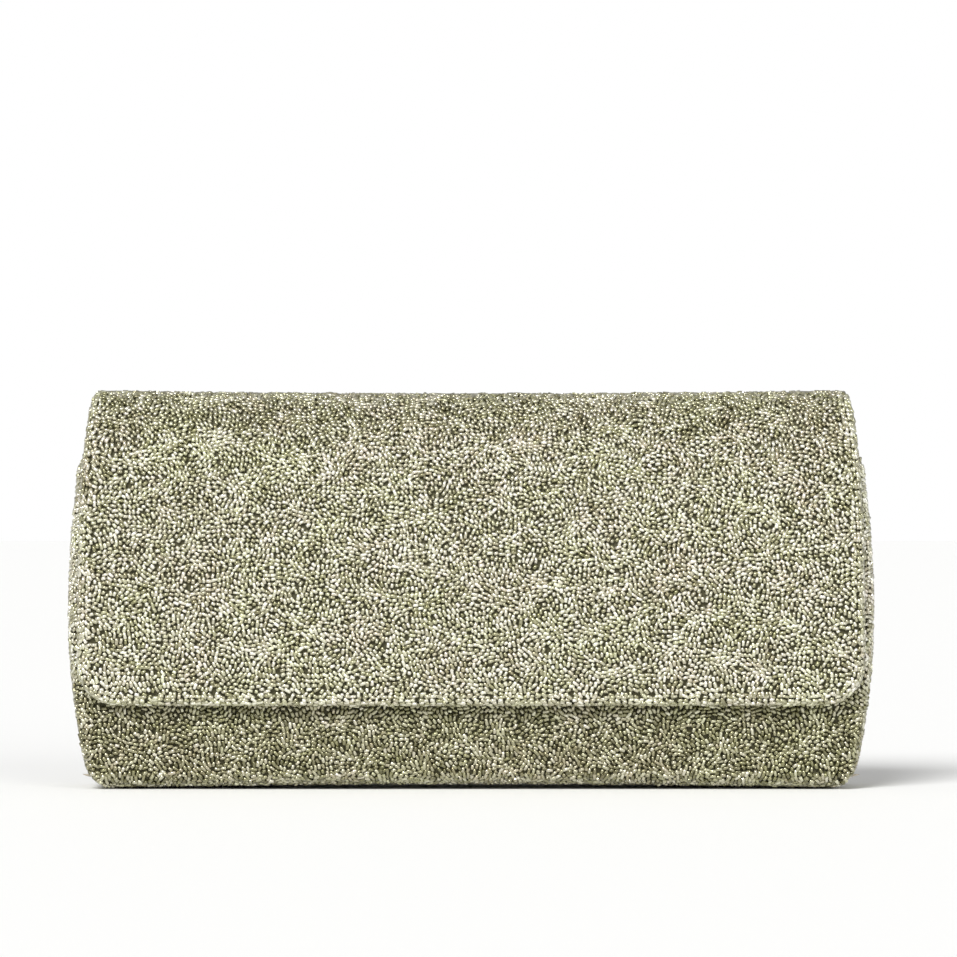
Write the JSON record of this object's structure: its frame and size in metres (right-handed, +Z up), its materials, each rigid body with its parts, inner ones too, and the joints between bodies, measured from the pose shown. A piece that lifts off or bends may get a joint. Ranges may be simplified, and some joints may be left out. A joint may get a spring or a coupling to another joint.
{
  "type": "beaded evening bag",
  "caption": "Barrel-shaped evening clutch covered in short champagne glass beads, with a deep rounded front flap on a hidden magnetic snap and a satin-lined inside with strap rings.",
  "frame": {"origin": "middle of the bag's box in width and depth, on the surface that the base stands on", "axes": "+X along the width, to the right seen from the front; +Y from the front to the back, so the front faces -Y; +Z up"},
  "size_m": [0.24, 0.043, 0.119],
  "materials": {
    "glass_beads": "short silver-lined champagne glass beads, sewn close in swirling rows",
    "bead_rim": "the same beads in tight rows along an edge",
    "stiffener_board": "matte",
    "satin_lining": "satin weave, soft sheen",
    "ribbon": "ribbed ribbon",
    "nickel_plate": "polished",
    "ferrite": "matte"
  },
  "bodies": {
    "root": {"back_cover": "glass_beads", "back_board": "stiffener_board", "back_lining": "satin_lining", "slip_pocket": "satin_lining", "base_cover": "glass_beads", "base_board": "stiffener_board", "base_lining": "satin_lining", "left_gusset_cover": "glass_beads", "left_gusset_lining": "satin_lining", "right_gusset_cover": "glass_beads", "right_gusset_lining": "satin_lining", "flap_fold": "glass_beads", "left_ring_tab": "ribbon", "right_ring_tab": "ribbon"},
    "front_panel": {"front_cover": "glass_beads", "front_board": "stiffener_board", "front_lining": "satin_lining", "mouth_binding": "bead_rim", "snap_socket": "nickel_plate", "snap_magnet": "ferrite", "snap_socket_washer": "nickel_plate"},
    "flap": {"flap_cover": "glass_beads", "flap_board": "stiffener_board", "flap_lining": "satin_lining", "flap_edge_trim": "bead_rim", "snap_stud": "nickel_plate", "snap_stud_washer": "nickel_plate"},
    "left_ring": {"left_d_ring": "nickel_plate"},
    "right_ring": {"right_d_ring": "nickel_plate"}
  },
  "joints": [
    {"name": "flap_hinge", "type": "hinge", "parent": "root", "child": "flap", "pos_m": [0, 0.0165, 0.1105], "axis": [-1, 0, 0], "range_deg": [0, 175]},
    {"name": "front_tilt", "type": "hinge", "parent": "root", "child": "front_panel", "pos_m": [0, -0.0126, 0.0052], "axis": [1, 0, 0], "range_deg": [0, 7]},
    {"name": "left_ring_swing", "type": "hinge", "parent": "root", "child": "left_ring", "pos_m": [-0.11186, 0.0047, 0.086], "axis": [0, -1, 0], "range_deg": [0, 80]},
    {"name": "right_ring_swing", "type": "hinge", "parent": "root", "child": "right_ring", "pos_m": [0.11186, 0.0047, 0.086], "axis": [0, 1, 0], "range_deg": [0, 80]}
  ],
  "couplings": [
    {"joint": "front_tilt", "follows": "flap_hinge", "ratio": 0.04}
  ]
}
